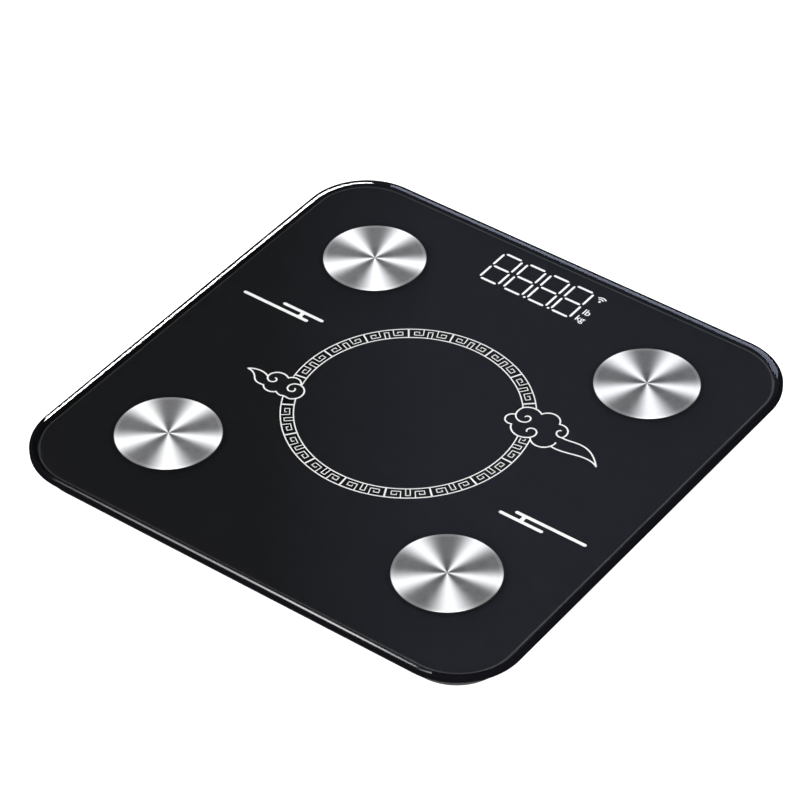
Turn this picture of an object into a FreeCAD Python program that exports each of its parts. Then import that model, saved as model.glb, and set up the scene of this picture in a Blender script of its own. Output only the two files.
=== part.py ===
import FreeCAD, Part
import os
from math import atan2, cos, degrees, pi, radians, sin, sqrt, tan

V = FreeCAD.Vector

# Digital bathroom scale: a square glass platform with four steel electrode discs, glued to a
# shallow plastic base.  Each corner stands on a foot that bears on its own load cell.
# Millimetres.  The origin is on the floor under the middle of the platform.  +Z is up, the
# display is at the +Y edge (the rear), and +X is at the right of a user facing the display.

# ---- driving dimensions ---------------------------------------------------------------------
platform_width = 280.0
platform_depth = 280.0
platform_corner_radius = 34.2
glass_thickness = 5.0
glass_edge_round = 1.8

foot_projection = 3.5
foot_radius = 19.7
foot_travel = 0.4
pad_thickness = 1.6

base_inset = 3.7
base_corner_radius = 34.0
base_side_height = 4.6
base_bottom_inset = 12.0
wall = 2.2
floor_thickness = 2.2
lip_width = 1.4
ledge_width = 4.4
ledge_thickness = 1.6

film_thickness = 0.2
tape_thickness = 0.6

disc_diameter = 52.1
disc_thickness = 0.3
disc_edge_distance = 57.4
disc_glue_thickness = 0.1
disc_glue_margin = 0.35
stud_radius = 1.5

display_edge_distance = 24.9
display_offset_x = -1.8
digit_count = 4
digit_height = 24.1
digit_width = 12.9
digit_pitch = 14.4
segment_width = 1.9

battery_diameter = 10.5
battery_length = 44.5
door_thickness = 1.6
bay_ceiling = 1.2

board_width = 80.0
board_depth = 50.0
board_thickness = 1.2
button_radius = 5.0
button_travel = 0.4

cell_side = 32.0
cell_thickness = 1.6
foot_margin = 5.3

wire_radius = 0.6
cable_radius = 0.9

# ---- named clearances -----------------------------------------------------------------------
gap = 0.3            # between pieces that move past each other
fit_gap = 0.2        # between a piece and the pocket that holds it still
seat_gap = 0.1       # under a flange that rests on a stop, and between the lip and the glass
well_gap = 0.6       # round the feet, so that grit falls out
screw_play = 0.05    # round a screw's shank in its hole

# ---- heights, from the floor up ---------------------------------------------------------------
base_bottom = foot_projection
floor_top = base_bottom + floor_thickness
door_top = base_bottom + door_thickness
battery_clearance = 0.4
battery_axis_z = door_top + battery_clearance + battery_diameter / 2
bay_roof_bottom = battery_axis_z + battery_diameter / 2 + gap
bay_roof_top = bay_roof_bottom + bay_ceiling
glass_bottom = bay_roof_top + film_thickness + gap
glass_top = glass_bottom + glass_thickness
film_bottom = glass_bottom - film_thickness
ledge_top = film_bottom - tape_thickness
ledge_bottom = ledge_top - ledge_thickness
lip_top = glass_bottom - seat_gap
knee_z = glass_bottom - base_side_height

# ---- places in plan ---------------------------------------------------------------------------
half_w = platform_width / 2
half_d = platform_depth / 2
disc_x = half_w - disc_edge_distance
disc_y = half_d - disc_edge_distance
foot_edge_distance = base_bottom_inset + foot_margin + foot_radius
foot_x = half_w - foot_edge_distance
foot_y = half_d - foot_edge_distance
display_y = half_d - display_edge_distance
digits_to_board = 23.05
board_y = display_y - digit_height / 2 - digits_to_board - board_depth / 2

CORNERS = {
    "front_left": (-1, -1),
    "front_right": (1, -1),
    "rear_left": (-1, 1),
    "rear_right": (1, 1),
}


# ---- small helpers ----------------------------------------------------------------------------
def box(x0, x1, y0, y1, z0, z1):
    """A block between two corners."""
    return Part.makeBox(x1 - x0, y1 - y0, z1 - z0, V(x0, y0, z0))


def cylinder(x, y, z0, z1, radius):
    """An upright cylinder."""
    return Part.makeCylinder(radius, z1 - z0, V(x, y, z0))


def tube(x, y, z0, z1, outer, inner):
    """An upright tube."""
    return cylinder(x, y, z0, z1, outer).cut(cylinder(x, y, z0, z1, inner))


def rounded_wire(half_x, half_y, radius, z):
    """A rectangle with round corners, centred on the origin, as a closed wire."""
    edges = []
    cx = half_x - radius
    cy = half_y - radius
    corners = [(cx, cy, 0), (-cx, cy, 90), (-cx, -cy, 180), (cx, -cy, 270)]
    ends = []
    for x, y, start in corners:
        turn = [radians(start + part) for part in (0, 45, 90)]
        points = [V(x + radius * cos(a), y + radius * sin(a), z) for a in turn]
        edges.append(Part.Arc(*points).toShape())
        ends.append((points[0], points[2]))
    for i, (_, last) in enumerate(ends):
        first = ends[(i + 1) % 4][0]
        edges.append(Part.LineSegment(last, first).toShape())
    return Part.Wire(Part.__sortEdges__(edges))


def rounded_block(half_x, half_y, radius, z0, z1):
    """A block with round upright corners, centred on the origin."""
    face = Part.Face(rounded_wire(half_x, half_y, radius, z0))
    return face.extrude(V(0, 0, z1 - z0))


def tapered_block(low, high, z0, z1):
    """A block between two rounded rectangles, each (half_x, half_y, radius)."""
    return Part.makeLoft([rounded_wire(*low, z0), rounded_wire(*high, z1)], True, True)


def fused(shapes):
    """One solid from several that touch."""
    first = shapes[0]
    rest = shapes[1:]
    whole = first.fuse(rest) if rest else first
    return whole.removeSplitter()


def cut_all(shape, tools):
    """A solid with every tool cut from it."""
    return shape.cut(tools) if tools else shape


def turned(points, x, y):
    """A solid of revolution about an upright axis from its (radius, z) outline."""
    outline = [V(r, 0, z) for r, z in points]
    face = Part.Face(Part.makePolygon(outline + [outline[0]]))
    solid = face.revolve(V(0, 0, 0), V(0, 0, 1), 360)
    solid.translate(V(x, y, 0))
    return solid


def at_corner(shape, side_x, side_y):
    """A copy of a piece drawn with +X outward, placed over a corner's foot."""
    placed = shape.copy()
    placed.rotate(V(0, 0, 0), V(0, 0, 1), degrees(atan2(side_y, side_x)))
    placed.translate(V(side_x * foot_x, side_y * foot_y, 0))
    return placed


def routed(points, radius, bend):
    """A wire: straight runs joined by tangent arcs, with a round section."""
    path = [V(*p) for p in points]
    edges = []
    start = path[0]
    for before, here, after in zip(path, path[1:], path[2:]):
        inward = (before - here).normalize()
        outward = (after - here).normalize()
        half_angle = inward.getAngle(outward) / 2
        reach = bend / tan(half_angle)
        tangent_in = here + inward * reach
        tangent_out = here + outward * reach
        middle = (inward + outward).normalize()
        top = here + middle * (bend / sin(half_angle) - bend)
        edges.append(Part.LineSegment(start, tangent_in).toShape())
        edges.append(Part.Arc(tangent_in, top, tangent_out).toShape())
        start = tangent_out
    edges.append(Part.LineSegment(start, path[-1]).toShape())
    wire = Part.Wire(edges)
    section = Part.Wire(Part.makeCircle(radius, path[0], path[1] - path[0]))
    return wire.makePipeShell([section], True, False)


def save(name, solids):
    """Write one node: a solid, or a group of separate solids."""
    shape = solids if isinstance(solids, Part.Shape) else Part.makeCompound(solids)
    shape.exportStep(f"parts/{name}.step")


# ---- platform ---------------------------------------------------------------------------------
stud_hole_radius = stud_radius + 1.0
disc_bottom = glass_top + disc_glue_thickness
disc_top = disc_bottom + disc_thickness
terminal_thickness = 0.5
nut_height = 2.2
nut_radius = 3.0
nut_bottom = film_bottom - terminal_thickness - nut_height
stud_bottom = nut_bottom - 0.6
film_inset = base_inset + lip_width + fit_gap


def disc_places():
    """The middle of each electrode disc."""
    return [(sx * disc_x, sy * disc_y) for sx, sy in CORNERS.values()]


def glass_platform():
    """Toughened glass with a half-round edge and a hole under each disc for its stud."""
    plate = rounded_block(half_w, half_d, platform_corner_radius, glass_bottom, glass_top)
    rims = [e for e in plate.Edges if abs(e.BoundBox.ZLength) < 1e-6]
    plate = plate.makeFillet(glass_edge_round, rims)
    holes = [cylinder(x, y, glass_bottom, glass_top, stud_hole_radius) for x, y in disc_places()]
    return cut_all(plate, holes)


display_window_half_x = 34.5
display_window_half_y = digit_height / 2 + 2.6


def display_window_block(margin, z0, z1):
    """The display's rectangle, larger all round by a margin."""
    block = rounded_block(display_window_half_x + margin, display_window_half_y + margin, 2.0, z0, z1)
    block.translate(V(display_offset_x, display_y, 0))
    return block


def printed_backing():
    """The ink layer under the glass, with a window for the display."""
    layer = rounded_block(*base_size(film_inset), film_bottom, glass_bottom)
    holes = [cylinder(x, y, film_bottom, glass_bottom, stud_hole_radius) for x, y in disc_places()]
    return cut_all(layer, holes + [display_window_block(0, film_bottom, glass_bottom)])


def display_window():
    """The smoked window that fills the opening in the ink layer."""
    return display_window_block(0, film_bottom, glass_bottom)


def platform_tape():
    """The foam tape that bonds the glass to the base's ledge."""
    outer_inset = film_inset + fit_gap
    inner_inset = base_inset + lip_width + ledge_width
    outer = rounded_block(*base_size(outer_inset), ledge_top, film_bottom)
    inner = rounded_block(*base_size(inner_inset), ledge_top, film_bottom)
    return outer.cut(inner)


def electrode_disc(x, y):
    """A stainless disc with its connection stud."""
    radius = disc_diameter / 2
    edge = 0.12
    outline = [
        (0, stud_bottom),
        (stud_radius - 0.3, stud_bottom),
        (stud_radius, stud_bottom + 0.3),
        (stud_radius, disc_bottom),
        (radius, disc_bottom),
        (radius, disc_top - edge),
        (radius - edge, disc_top),
        (0, disc_top),
    ]
    return turned(outline, x, y)


def disc_adhesive():
    """The black glue rings between the discs and the glass."""
    radius = disc_diameter / 2 + disc_glue_margin
    return [tube(x, y, glass_top, disc_bottom, radius, stud_hole_radius) for x, y in disc_places()]


def hexagon(x, y, z0, z1, radius):
    """A six-sided prism."""
    points = [V(x + radius * cos(i * pi / 3), y + radius * sin(i * pi / 3), z0) for i in range(7)]
    return Part.Face(Part.makePolygon(points)).extrude(V(0, 0, z1 - z0))


def electrode_nuts():
    """The nut on each disc's stud."""
    nuts = []
    for x, y in disc_places():
        nut = hexagon(x, y, nut_bottom, nut_bottom + nut_height, nut_radius)
        nuts.append(nut.cut(cylinder(x, y, nut_bottom, nut_bottom + nut_height, stud_radius + screw_play)))
    return nuts


terminal_length = 7.0
terminal_z = film_bottom - terminal_thickness


def ring_terminals():
    """The tag under each nut, with a crimp that points to the middle of the scale."""
    terminals = []
    for x, y in disc_places():
        side = 1 if x > 0 else -1
        ring = tube(x, y, terminal_z, film_bottom, 2.9, stud_radius + screw_play)
        near = x - side * 2.5
        far = x - side * terminal_length
        tongue = box(min(near, far), max(near, far), y - 1.0, y + 1.0, terminal_z, film_bottom)
        crimp = box(min(far, far + side * 3), max(far, far + side * 3), y - 1.0, y + 1.0,
                    terminal_z - 1.4, terminal_z)
        terminals.append(fused([ring, tongue, crimp]))
    return terminals


# ---- base -------------------------------------------------------------------------------------
slope = (base_bottom_inset - base_inset) / (knee_z - base_bottom)
slant_wall = wall * sqrt(1 + slope * slope)
well_radius = foot_radius + well_gap
flange_radius = well_radius + 1.3
collar_radius = flange_radius + 0.8
collar_wall = 1.4
boss_radius = 3.0
ear_distance = collar_radius + boss_radius - 0.2
foot_flange_bottom = floor_top + fit_gap
foot_flange_top = foot_flange_bottom + 1.0
collar_top = foot_flange_top + foot_travel + 0.7
bracket_bottom = collar_top + 0.4
rib_top = bracket_bottom - gap
cell_bottom = bracket_bottom + 1.0
cell_top = cell_bottom + cell_thickness
bracket_top = film_bottom - tape_thickness
ear_bottom = cell_top + 1.0
ear_top = ear_bottom + 2.2
screw_radius = 1.0
root = 0.5
head_radius = 2.0
head_height = 1.5

bay_half_x = battery_length / 2 + 5.2
battery_pitch = battery_diameter + 0.7
bay_half_y = battery_diameter + 1.1
bay_wall = 1.6
bay_frame = 2.5
hinge_rail = 4.4
bay_block_top = door_top + 3.4
door_half_x = bay_half_x + 2.6
door_half_y = bay_half_y + 2.9
hinge_margin = 0.15
tab_reach = 2.3
bay_to_board = 13.0
bay_y = board_y - board_depth / 2 - bay_to_board - door_half_y - bay_frame
bay_block_front = door_half_y + gap + hinge_rail
bay_block_rear = door_half_y + bay_frame
hinge_y = bay_y - door_half_y - hinge_margin
hinge_z = base_bottom
tab_low = door_top + 0.3
tab_high = tab_low + 1.0
tab_half = 4.0
tab_x = door_half_x * 0.6
notch_reach = sqrt(tab_reach ** 2 + (tab_high - hinge_z) ** 2) + 0.25

board_bottom = floor_top + 4.8
board_top = board_bottom + board_thickness
standoff_radius = 2.8
standoff_inset = 4.0
button_x = 0.0
button_y = board_y + 7.0
button_hole_radius = button_radius + gap
button_flange_radius = button_radius + 2.0
button_flange_bottom = floor_top + seat_gap
button_flange_top = button_flange_bottom + 0.6

housing_half_x = display_window_half_x + 1.2
housing_half_y = display_window_half_y + 0.2
display_board_drop = 4.2
board_over_ribs = 0.5
display_board_bottom = max(rib_top + board_over_ribs, knee_z - display_board_drop)
display_board_top = display_board_bottom + board_thickness
diffuser_thickness = 0.3
housing_top = film_bottom - fit_gap - diffuser_thickness
display_screw_x = housing_half_x + 3.2
ribbon_land = 3.4


def outer_inset(z):
    """How far the base's side stands in from the glass's edge at a height."""
    return base_inset + max(0.0, knee_z - z) * slope


def base_size(inset):
    """Half width, half depth and corner radius of the base at an inset."""
    return half_w - inset, half_d - inset, base_corner_radius + base_inset - inset


def standoff_places():
    """The four screw posts under the main board."""
    dx = board_width / 2 - standoff_inset
    dy = board_depth / 2 - standoff_inset
    return [(sx * dx, board_y + sy * dy) for sx in (-1, 1) for sy in (-1, 1)]


def display_post_places():
    """The two screw posts under the display board."""
    return [(display_offset_x + s * display_screw_x, display_y) for s in (-1, 1)]


def boss_places():
    """The two screw bosses beside each foot, for its load cell's bracket."""
    places = []
    for sx, sy in CORNERS.values():
        for side in (-1, 1):
            placed = Part.Vertex(0, side * ear_distance, 0)
            placed.rotate(V(0, 0, 0), V(0, 0, 1), degrees(atan2(sy, sx)))
            places.append((placed.Point.x + sx * foot_x, placed.Point.y + sy * foot_y))
    return places


def base_cavity():
    """The space inside the base's walls, below the ledge that carries the glass."""
    low_inset = outer_inset(floor_top) + slant_wall
    high_inset = base_inset + wall
    lower = tapered_block(base_size(low_inset), base_size(high_inset), floor_top, knee_z)
    upper = rounded_block(*base_size(high_inset), knee_z, ledge_bottom)
    return lower.fuse(upper)


def rib_grid(cavity):
    """Stiffening ribs across the floor, kept clear of what stands on it."""
    ribs = []
    rib_half = 0.8
    for part in (0.37, 0.55):
        for side in (-1, 1):
            x = side * half_w * part
            ribs.append(box(x - rib_half, x + rib_half, -half_d, half_d, floor_top - root, rib_top))
    for part in (-0.67, -0.44, -0.22):
        y = half_d * part
        ribs.append(box(-half_w, half_w, y - rib_half, y + rib_half, floor_top - root, rib_top))
    for y in (bay_y, board_y, (board_y + board_depth / 2 + display_y) / 2):
        ribs.append(box(-half_w, half_w, y - rib_half, y + rib_half, floor_top - root, rib_top))
    grid = fused(ribs)
    room = cavity.fuse(box(-foot_x, foot_x, -foot_y, foot_y, floor_top - root, floor_top))
    grid = grid.common(room)
    keep_out = [
        cylinder(button_x, button_y, floor_top, rib_top, button_flange_radius + 1.5),
        box(-bay_half_x, bay_half_x, bay_y - bay_half_y, bay_y + bay_half_y, base_bottom, rib_top),
    ]
    for sx, sy in CORNERS.values():
        keep_out.append(cylinder(sx * foot_x, sy * foot_y, base_bottom, rib_top, collar_radius))
    return cut_all(grid, keep_out)


def bay_walls():
    """The solid round the batteries: a heavy frame round the door and a thin box above it."""
    frame = box(-door_half_x - bay_frame, door_half_x + bay_frame, bay_y - bay_block_front,
                bay_y + bay_block_rear, base_bottom, bay_block_top)
    crown = box(-bay_half_x - bay_wall, bay_half_x + bay_wall, bay_y - bay_half_y - bay_wall,
                bay_y + bay_half_y + bay_wall, base_bottom, bay_roof_top)
    return frame.fuse(crown)


def bay_hollows():
    """The battery space, the door's opening and the notches that its two tabs turn in."""
    opening_x = door_half_x + gap
    opening_y = door_half_y + gap
    hollows = [
        box(-bay_half_x, bay_half_x, bay_y - bay_half_y, bay_y + bay_half_y, base_bottom, bay_roof_bottom),
        box(-opening_x, opening_x, bay_y - opening_y, bay_y + opening_y, base_bottom, door_top),
    ]
    for side in (-1, 1):
        x = side * tab_x
        reach = tab_half + gap
        hollows.append(box(x - reach, x + reach, hinge_y - notch_reach, bay_y - bay_half_y, door_top,
                           hinge_z + notch_reach))
    recess = cylinder(0, bay_y + opening_y - 2.0, base_bottom, base_bottom + 1.3, 9.0)
    hollows.append(recess)
    return hollows


def base_shell():
    """The moulded tray: sloped sides, a lip and ledge for the glass, ribs, bosses and a bay."""
    low = tapered_block(base_size(base_bottom_inset), base_size(base_inset), base_bottom, knee_z)
    high = rounded_block(*base_size(base_inset), knee_z, lip_top)
    cavity = base_cavity()
    ledge_inset = base_inset + lip_width + ledge_width
    lip_inset = base_inset + lip_width
    hollows = [
        cavity,
        rounded_block(*base_size(ledge_inset), ledge_bottom, ledge_top),
        rounded_block(*base_size(lip_inset), ledge_top, lip_top),
    ]
    tray = cut_all(low.fuse(high), hollows)

    adds = [rib_grid(cavity), bay_walls()]
    cuts = bay_hollows()
    for sx, sy in CORNERS.values():
        x = sx * foot_x
        y = sy * foot_y
        adds.append(cylinder(x, y, base_bottom, collar_top, collar_radius + collar_wall))
        cuts.append(cylinder(x, y, base_bottom, floor_top, well_radius))
        cuts.append(cylinder(x, y, floor_top, collar_top, collar_radius))
    for x, y in boss_places():
        adds.append(cylinder(x, y, base_bottom + root, ear_bottom, boss_radius))
        cuts.append(cylinder(x, y, floor_top, ear_bottom, screw_radius + screw_play))
    for x, y in standoff_places():
        adds.append(cylinder(x, y, base_bottom + root, board_bottom, standoff_radius))
        cuts.append(cylinder(x, y, floor_top, board_bottom, screw_radius + screw_play))
    for x, y in display_post_places():
        adds.append(cylinder(x, y, base_bottom + root, display_board_bottom, standoff_radius))
        cuts.append(cylinder(x, y, floor_top, display_board_bottom, screw_radius + screw_play))
    adds.append(cylinder(button_x, button_y, base_bottom + root, button_flange_top + button_travel,
                         button_flange_radius + gap + 1.2))
    cuts.append(cylinder(button_x, button_y, base_bottom, floor_top, button_hole_radius))
    cuts.append(cylinder(button_x, button_y, floor_top, board_bottom, button_flange_radius + gap))
    dish = Part.makeCone(button_hole_radius + 3.2, button_hole_radius + 1.4, 0.9,
                         V(button_x, button_y, base_bottom))
    cuts.append(dish)
    return cut_all(fused([tray] + adds), cuts)


# ---- battery door and batteries -----------------------------------------------------------------
def battery_door():
    """The door under the bay: a plate with two hinge tabs, and a latch tongue cut free by slots."""
    plate = box(-door_half_x, door_half_x, bay_y - door_half_y, bay_y + door_half_y, base_bottom, door_top)
    adds = []
    for side in (-1, 1):
        x = side * tab_x
        adds.append(box(x - tab_half, x + tab_half, hinge_y + hinge_margin, hinge_y + 3.0, door_top, tab_high))
        adds.append(box(x - tab_half, x + tab_half, hinge_y - tab_reach, hinge_y + 3.0, tab_low, tab_high))
    for x in (-bay_half_x + 6.0, 0.0, bay_half_x - 6.0):
        adds.append(box(x - 0.6, x + 0.6, bay_y - bay_half_y + 3.2, bay_y + bay_half_y - 1.0, door_top,
                        door_top + 0.2))
    tongue_half = 7.0
    tongue_root = bay_y + door_half_y - 8.0
    slot = 0.8
    cuts = []
    for side in (-1, 1):
        x = side * (tongue_half + slot / 2)
        cuts.append(box(x - slot / 2, x + slot / 2, tongue_root, bay_y + door_half_y, base_bottom, door_top))
    for i in range(3):
        y = bay_y + door_half_y - 2.0 - 1.6 * i
        cuts.append(box(-tongue_half + 1.4, tongue_half - 1.4, y - 0.4, y + 0.4, base_bottom,
                        base_bottom + 0.4))
    return cut_all(fused([plate] + adds), cuts)


def battery(side):
    """A small dry cell lying along X, its positive end the other way round on each side."""
    radius = battery_diameter / 2
    nub_radius = 1.9
    nub = 0.8
    edge = 0.5
    body = battery_length - nub
    outline = [
        (0, 0),
        (radius - edge, 0),
        (radius, edge),
        (radius, body - edge),
        (radius - edge, body),
        (nub_radius, body),
        (nub_radius, body + nub),
        (0, body + nub),
    ]
    cell = turned(outline, 0, 0)
    cell.rotate(V(0, 0, 0), V(0, 1, 0), 90 * side)
    cell.translate(V(-side * battery_length / 2, bay_y + side * battery_pitch / 2, battery_axis_z))
    return cell


contact_thickness = 0.4


def contact_springs():
    """A bowed leaf at the negative end of each battery."""
    leaves = []
    half_height = 4.0
    half_width = 3.0
    depth = bay_half_x - battery_length / 2
    bow = (half_height ** 2 + depth ** 2) / (2 * depth)
    limit = box(-bay_half_x, bay_half_x, bay_y - bay_half_y, bay_y + bay_half_y, door_top, bay_roof_bottom)
    for side in (-1, 1):
        y = bay_y + side * battery_pitch / 2 - half_width
        centre = V(-side * (battery_length / 2 + bow), y, battery_axis_z)
        leaf = Part.makeCylinder(bow, 2 * half_width, centre, V(0, 1, 0))
        leaf = leaf.cut(Part.makeCylinder(bow - contact_thickness, 2 * half_width, centre, V(0, 1, 0)))
        leaves.append(leaf.common(limit))
    return leaves


def contact_plates():
    """A flat plate with a raised pip at the positive end of each battery."""
    plates = []
    for side in (-1, 1):
        y = bay_y + side * battery_pitch / 2
        back = side * bay_half_x
        front = side * (bay_half_x - contact_thickness)
        plate = box(min(back, front), max(back, front), y - 4.4, y + 4.4, battery_axis_z - 4.4,
                    battery_axis_z + 4.4)
        reach = bay_half_x - contact_thickness - battery_length / 2
        pip = Part.makeCone(3.0, 1.8, reach, V(front, y, battery_axis_z), V(-side, 0, 0))
        plates.append(fused([plate, pip]))
    return plates


# ---- feet and load cells --------------------------------------------------------------------------
post_radius = 4.0
spigot_radius = 2.2
cell_hole_radius = spigot_radius + gap
tongue_half_width = 4.6
cell_slot = 2.2
cup_bottom = pad_thickness / 2
pad_radius = foot_radius - 2.3


def foot_cup():
    """The moulded foot: a cup held by its flange, with a ribbed post up to the load cell."""
    hollow_radius = foot_radius - 2.0
    inner_floor = pad_thickness + 1.5
    shell = fused([
        cylinder(0, 0, cup_bottom, foot_flange_bottom, foot_radius),
        cylinder(0, 0, foot_flange_bottom, foot_flange_top, flange_radius),
    ])
    shell = shell.cut(cylinder(0, 0, inner_floor, foot_flange_top, hollow_radius))
    shell = shell.cut(cylinder(0, 0, cup_bottom, pad_thickness, pad_radius + fit_gap))
    adds = [
        cylinder(0, 0, inner_floor - root, cell_bottom, post_radius),
        cylinder(0, 0, cell_bottom - root, cell_top - 0.4, spigot_radius),
    ]
    for i in range(6):
        rib = box(post_radius - 1.0, hollow_radius + root, -0.7, 0.7, inner_floor - root, foot_flange_bottom)
        rib.rotate(V(0, 0, 0), V(0, 0, 1), 60 * i)
        adds.append(rib)
    return fused([shell] + adds)


def foot_pad():
    """The rubber pad that meets the floor, with ring grooves in its face."""
    pad = cylinder(0, 0, 0, pad_thickness, pad_radius)
    grooves = []
    for part in (0.35, 0.62, 0.86):
        middle = pad_radius * part
        grooves.append(tube(0, 0, 0, 0.4, middle + 0.5, middle - 0.5))
    return cut_all(pad, grooves)


def load_cell():
    """A stamped spring-steel plate whose middle tongue is cut free on three sides."""
    half = cell_side / 2
    plate = rounded_block(half, half, 3.0, cell_bottom, cell_top)
    tongue_end = half - 6.0
    tip = -half / 2
    outer = tongue_half_width + cell_slot
    cuts = [cylinder(0, 0, cell_bottom, cell_top, cell_hole_radius)]
    for side in (-1, 1):
        low = min(side * tongue_half_width, side * outer)
        cuts.append(box(tip - cell_slot, tongue_end, low, low + cell_slot, cell_bottom, cell_top))
        cuts.append(cylinder(tongue_end, side * (tongue_half_width + cell_slot / 2), cell_bottom, cell_top,
                             cell_slot / 2))
    cuts.append(box(tip - cell_slot, tip, -outer, outer, cell_bottom, cell_top))
    return cut_all(plate, cuts)


gauge_height = 0.5


def strain_gauges():
    """The coated gauge on the root of each load cell's tongue."""
    gauge = rounded_block(2.6, 2.0, 0.9, cell_top, cell_top + gauge_height)
    gauge.translate(V(cell_side / 2 - 8.6, 0, 0))
    return [at_corner(gauge, *side) for side in CORNERS.values()]


bracket_half = cell_side / 2 + 2.6
pocket_half = cell_side / 2 + fit_gap
relief_half = cell_side / 2 - 3.0
relief_top = cell_top + 3.0
ear_half = 4.4
cable_z = cell_top + 1.6


def cell_bracket():
    """The block over each load cell: it holds the cell's frame and carries the glass."""
    block = rounded_block(bracket_half, bracket_half, 5.0, bracket_bottom, bracket_top)
    reach = ear_distance + boss_radius
    ears = box(-ear_half, ear_half, -reach, reach, ear_bottom, ear_top)
    cuts = [
        box(-pocket_half, pocket_half, -pocket_half, pocket_half, cell_bottom, cell_top),
        box(-pocket_half, pocket_half, -pocket_half + 1.8, pocket_half - 1.8, bracket_bottom, cell_bottom),
        box(-relief_half, relief_half, -relief_half, relief_half, cell_top, relief_top),
        box(-bracket_half, -relief_half, -1.6, 1.6, cable_z - 1.3, cable_z + 1.3),
    ]
    for side in (-1, 1):
        cuts.append(cylinder(0, side * ear_distance, ear_bottom, ear_top, screw_radius + 0.2))
        for x in (-9.5, 0.0, 9.5):
            pocket = box(x - 3.6, x + 3.6, -3.0, 3.0, relief_top + 1.2, bracket_top)
            pocket.translate(V(0, side * 9.0, 0))
            cuts.append(pocket)
    return cut_all(fused([block, ears]), cuts)


def bracket_tape():
    """The foam pad between each bracket and the underside of the platform."""
    pad = rounded_block(bracket_half - 1.0, bracket_half - 1.0, 4.0, bracket_top, film_bottom)
    return [at_corner(pad, *side) for side in CORNERS.values()]


def pan_screw(x, y, seat, grip):
    """A round-headed screw standing on a seat, its shank reaching down by the grip."""
    head = cylinder(x, y, seat, seat + head_height, head_radius)
    shank = cylinder(x, y, seat - grip, seat, screw_radius)
    cross = [
        box(x - 1.1, x + 1.1, y - 0.25, y + 0.25, seat + head_height - 0.7, seat + head_height),
        box(x - 0.25, x + 0.25, y - 1.1, y + 1.1, seat + head_height - 0.7, seat + head_height),
    ]
    return cut_all(fused([head, shank]), cross)


def bracket_screws():
    """Two screws for each load cell's bracket."""
    grip = ear_top - floor_top - 1.0
    return [pan_screw(x, y, ear_top, grip) for x, y in boss_places()]


# ---- main board ---------------------------------------------------------------------------------
def main_board():
    """The circuit board that reads the load cells and discs."""
    board = rounded_block(board_width / 2, board_depth / 2, 1.5, board_bottom, board_top)
    board.translate(V(0, board_y, 0))
    holes = [cylinder(x, y, board_bottom, board_top, screw_radius + 0.2) for x, y in standoff_places()]
    return cut_all(board, holes)


def board_screws():
    """The four screws of the main board."""
    grip = board_top - floor_top - 1.0
    return [pan_screw(x, y, board_top, grip) for x, y in standoff_places()]


def main_chip():
    """The processor, with its rows of pins."""
    cx = -14.0
    cy = board_y + 2.0
    half = 5.0
    body = box(cx - half, cx + half, cy - half, cy + half, board_top + 0.1, board_top + 1.5)
    pins = []
    for i in range(8):
        along = -half + 1.2 + i * (2 * half - 2.4) / 7
        pins.append(box(cx - half - 0.9, cx + half + 0.9, cy + along - 0.2, cy + along + 0.2,
                        board_top, board_top + 0.3))
        pins.append(box(cx + along - 0.2, cx + along + 0.2, cy - half - 0.9, cy + half + 0.9,
                        board_top, board_top + 0.3))
    return fused([body] + pins)


def wireless_module():
    """The radio module: a small board with a metal can."""
    cx = 14.0
    cy = board_y - 6.0
    small_board = box(cx - 6.5, cx + 6.5, cy - 9.0, cy + 9.0, board_top, board_top + 0.6)
    can = box(cx - 5.8, cx + 5.8, cy - 3.0, cy + 8.4, board_top + 0.6, board_top + 2.4)
    return fused([small_board, can])


def board_capacitors():
    """The upright capacitors beside the processor."""
    places = [(-28.0, -12.0), (-20.5, -14.0), (25.5, 12.0)]
    return [cylinder(x, board_y + y, board_top, board_top + 4.0, 2.4) for x, y in places]


connector_depth = 5.0
connector_half = 16.0
connector_x = board_width / 2 - 1.5
plug_rows = (-12.0, -4.0, 4.0, 12.0)
connector_height = 4.3


def board_connectors():
    """The sockets at the board's two ends, and the one for the display's ribbon."""
    sockets = []
    for side in (-1, 1):
        low = min(side * connector_x, side * (connector_x - connector_depth))
        sockets.append(box(low, low + connector_depth, board_y - connector_half, board_y + connector_half,
                           board_top, board_top + connector_height))
    edge = board_y + board_depth / 2
    sockets.append(box(-10.0, 10.0, edge - 5.0, edge - 1.0, board_top, board_top + 1.2))
    return sockets


# ---- unit button ----------------------------------------------------------------------------------
switch_half = 3.0
switch_height = 3.5
switch_bottom = board_bottom - switch_height
stem_radius = 1.6


def unit_button():
    """The button under the base that changes the unit, held by its flange."""
    cap = cylinder(button_x, button_y, base_bottom + 0.2, button_flange_bottom, button_radius)
    cap = cap.makeFillet(0.4, [e for e in cap.Edges if abs(e.BoundBox.ZMax - base_bottom - 0.2) < 1e-6])
    flange = cylinder(button_x, button_y, button_flange_bottom, button_flange_top, button_flange_radius)
    return fused([cap, flange])


def unit_switch():
    """The small push switch under the main board."""
    body = box(button_x - switch_half, button_x + switch_half, button_y - switch_half,
               button_y + switch_half, switch_bottom, board_bottom)
    bore = cylinder(button_x, button_y, switch_bottom, switch_bottom + 1.5, stem_radius + gap)
    return body.cut(bore)


def unit_switch_stem():
    """The switch's stem, which rests on the button and moves with it."""
    return cylinder(button_x, button_y, button_flange_top, switch_bottom + 0.7, stem_radius)


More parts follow.
